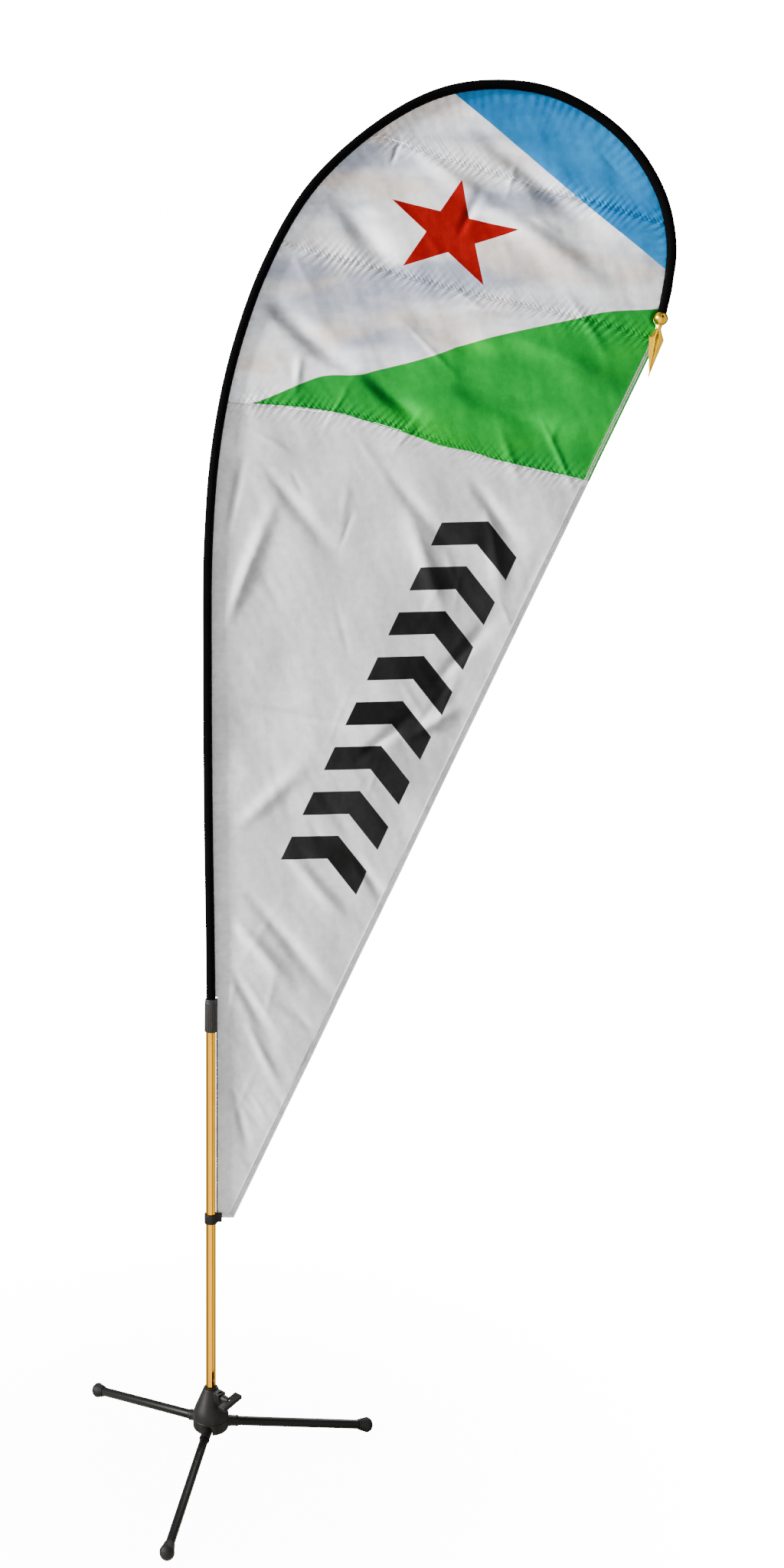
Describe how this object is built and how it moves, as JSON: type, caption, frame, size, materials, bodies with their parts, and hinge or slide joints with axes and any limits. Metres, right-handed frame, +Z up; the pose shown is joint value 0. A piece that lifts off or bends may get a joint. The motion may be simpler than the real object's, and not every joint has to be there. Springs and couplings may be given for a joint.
{
  "type": "teardrop flag on a folding stand",
  "caption": "Teardrop flag on a bowed mast with a black sleeve and gold spear finial, on a gold telescoping pole in a cone hub with folding legs.",
  "frame": {"origin": "the point on the floor under the centre of the pole", "axes": "+Z up along the pole, +X along the flag towards its free edge, +Y away from the face of the flag that the finial's grub screw is on"},
  "size_m": [1.2903, 0.6331, 2.998],
  "materials": {
    "black_plastic": "satin moulded plastic",
    "black_steel": "satin powder coat on steel tube",
    "zinc_steel": "zinc-plated steel",
    "rubber": "matt rubber",
    "gold": "polished gold anodised aluminium",
    "mast_tube": "dark anodised aluminium",
    "mast_rod": "pultruded glass fibre",
    "black_webbing": "black elastic polyester pocket",
    "printed_cloth": "dye-sublimated knitted polyester",
    "hem_cloth": "folded hem with zigzag stitching"
  },
  "bodies": {
    "base": {"hub_housing": "black_plastic", "hub_lower_ring": "black_plastic", "ring_screw_1": "zinc_steel", "ring_screw_2": "zinc_steel", "ring_screw_3": "zinc_steel", "hinge_pin_1": "zinc_steel", "hinge_pin_2": "zinc_steel", "hinge_pin_3": "zinc_steel", "clamp_nut": "zinc_steel"},
    "leg_1": {"leg_root_1": "black_plastic", "leg_tube_1": "black_steel", "leg_foot_1": "rubber"},
    "leg_2": {"leg_root_2": "black_plastic", "leg_tube_2": "black_steel", "leg_foot_2": "rubber"},
    "leg_3": {"leg_root_3": "black_plastic", "leg_tube_3": "black_steel", "leg_foot_3": "rubber"},
    "pad": {"clamp_pad": "black_plastic"},
    "wing_bolt": {"wing_bolt_shank": "zinc_steel", "wing_bolt_knob": "black_plastic"},
    "bush": {"pole_bush": "black_plastic"},
    "pole": {"lower_pole": "gold", "pole_bottom_plug": "black_plastic", "pole_top_bush": "black_plastic"},
    "collar": {"twist_collar": "black_plastic"},
    "mast": {"mast_lower_rod": "mast_tube", "mast_rod_guide": "black_plastic", "rod_ferrule": "zinc_steel", "bow_rod": "mast_rod", "mast_sleeve": "black_webbing", "finial_ball": "gold", "finial_spear": "gold", "finial_grub_screw": "zinc_steel", "panel_top": "printed_cloth", "panel_upper": "printed_cloth", "panel_middle": "printed_cloth", "panel_lower": "printed_cloth", "leech_hem": "hem_cloth", "luff_tape": "black_webbing", "corner_clip": "black_plastic", "corner_clip_screw": "zinc_steel"}
  },
  "joints": [
    {"name": "leg_fold_1", "type": "hinge", "parent": "base", "child": "leg_1", "pos_m": [0.02638, 0.00776, 0.07617], "axis": [-0.2823, 0.9593, 0], "range_deg": [0, 79.5]},
    {"name": "leg_fold_2", "type": "hinge", "parent": "base", "child": "leg_2", "pos_m": [-0.01991, 0.01896, 0.07617], "axis": [-0.6896, -0.7242, 0], "range_deg": [0, 79.5]},
    {"name": "leg_fold_3", "type": "hinge", "parent": "base", "child": "leg_3", "pos_m": [-0.00647, -0.02673, 0.07617], "axis": [0.972, -0.2351, 0], "range_deg": [0, 79.5]},
    {"name": "pad_slide", "type": "slide", "parent": "base", "child": "pad", "axis": [0.7242, -0.6896, 0], "range_m": [0, 0.0038]},
    {"name": "wing_bolt_turn", "type": "hinge", "parent": "pad", "child": "wing_bolt", "pos_m": [0, 0, 0.14], "axis": [0.7242, -0.6896, 0], "range_deg": [0, 1080]},
    {"name": "pole_turn", "type": "hinge", "parent": "base", "child": "bush", "pos_m": [0, 0, 0], "axis": [0, 0, 1], "continuous": true},
    {"name": "pole_lift", "type": "slide", "parent": "bush", "child": "pole", "axis": [0, 0, 1], "range_m": [0, 0.085]},
    {"name": "collar_turn", "type": "hinge", "parent": "pole", "child": "collar", "pos_m": [0, 0, 0.96], "axis": [0, 0, 1], "range_deg": [0, 90]},
    {"name": "mast_extend", "type": "slide", "parent": "pole", "child": "mast", "axis": [0, 0, 1], "range_m": [0, 0.28]}
  ],
  "couplings": [
    {"joint": "pad_slide", "follows": "wing_bolt_turn", "m_per_rad": 0.00019894}
  ]
}
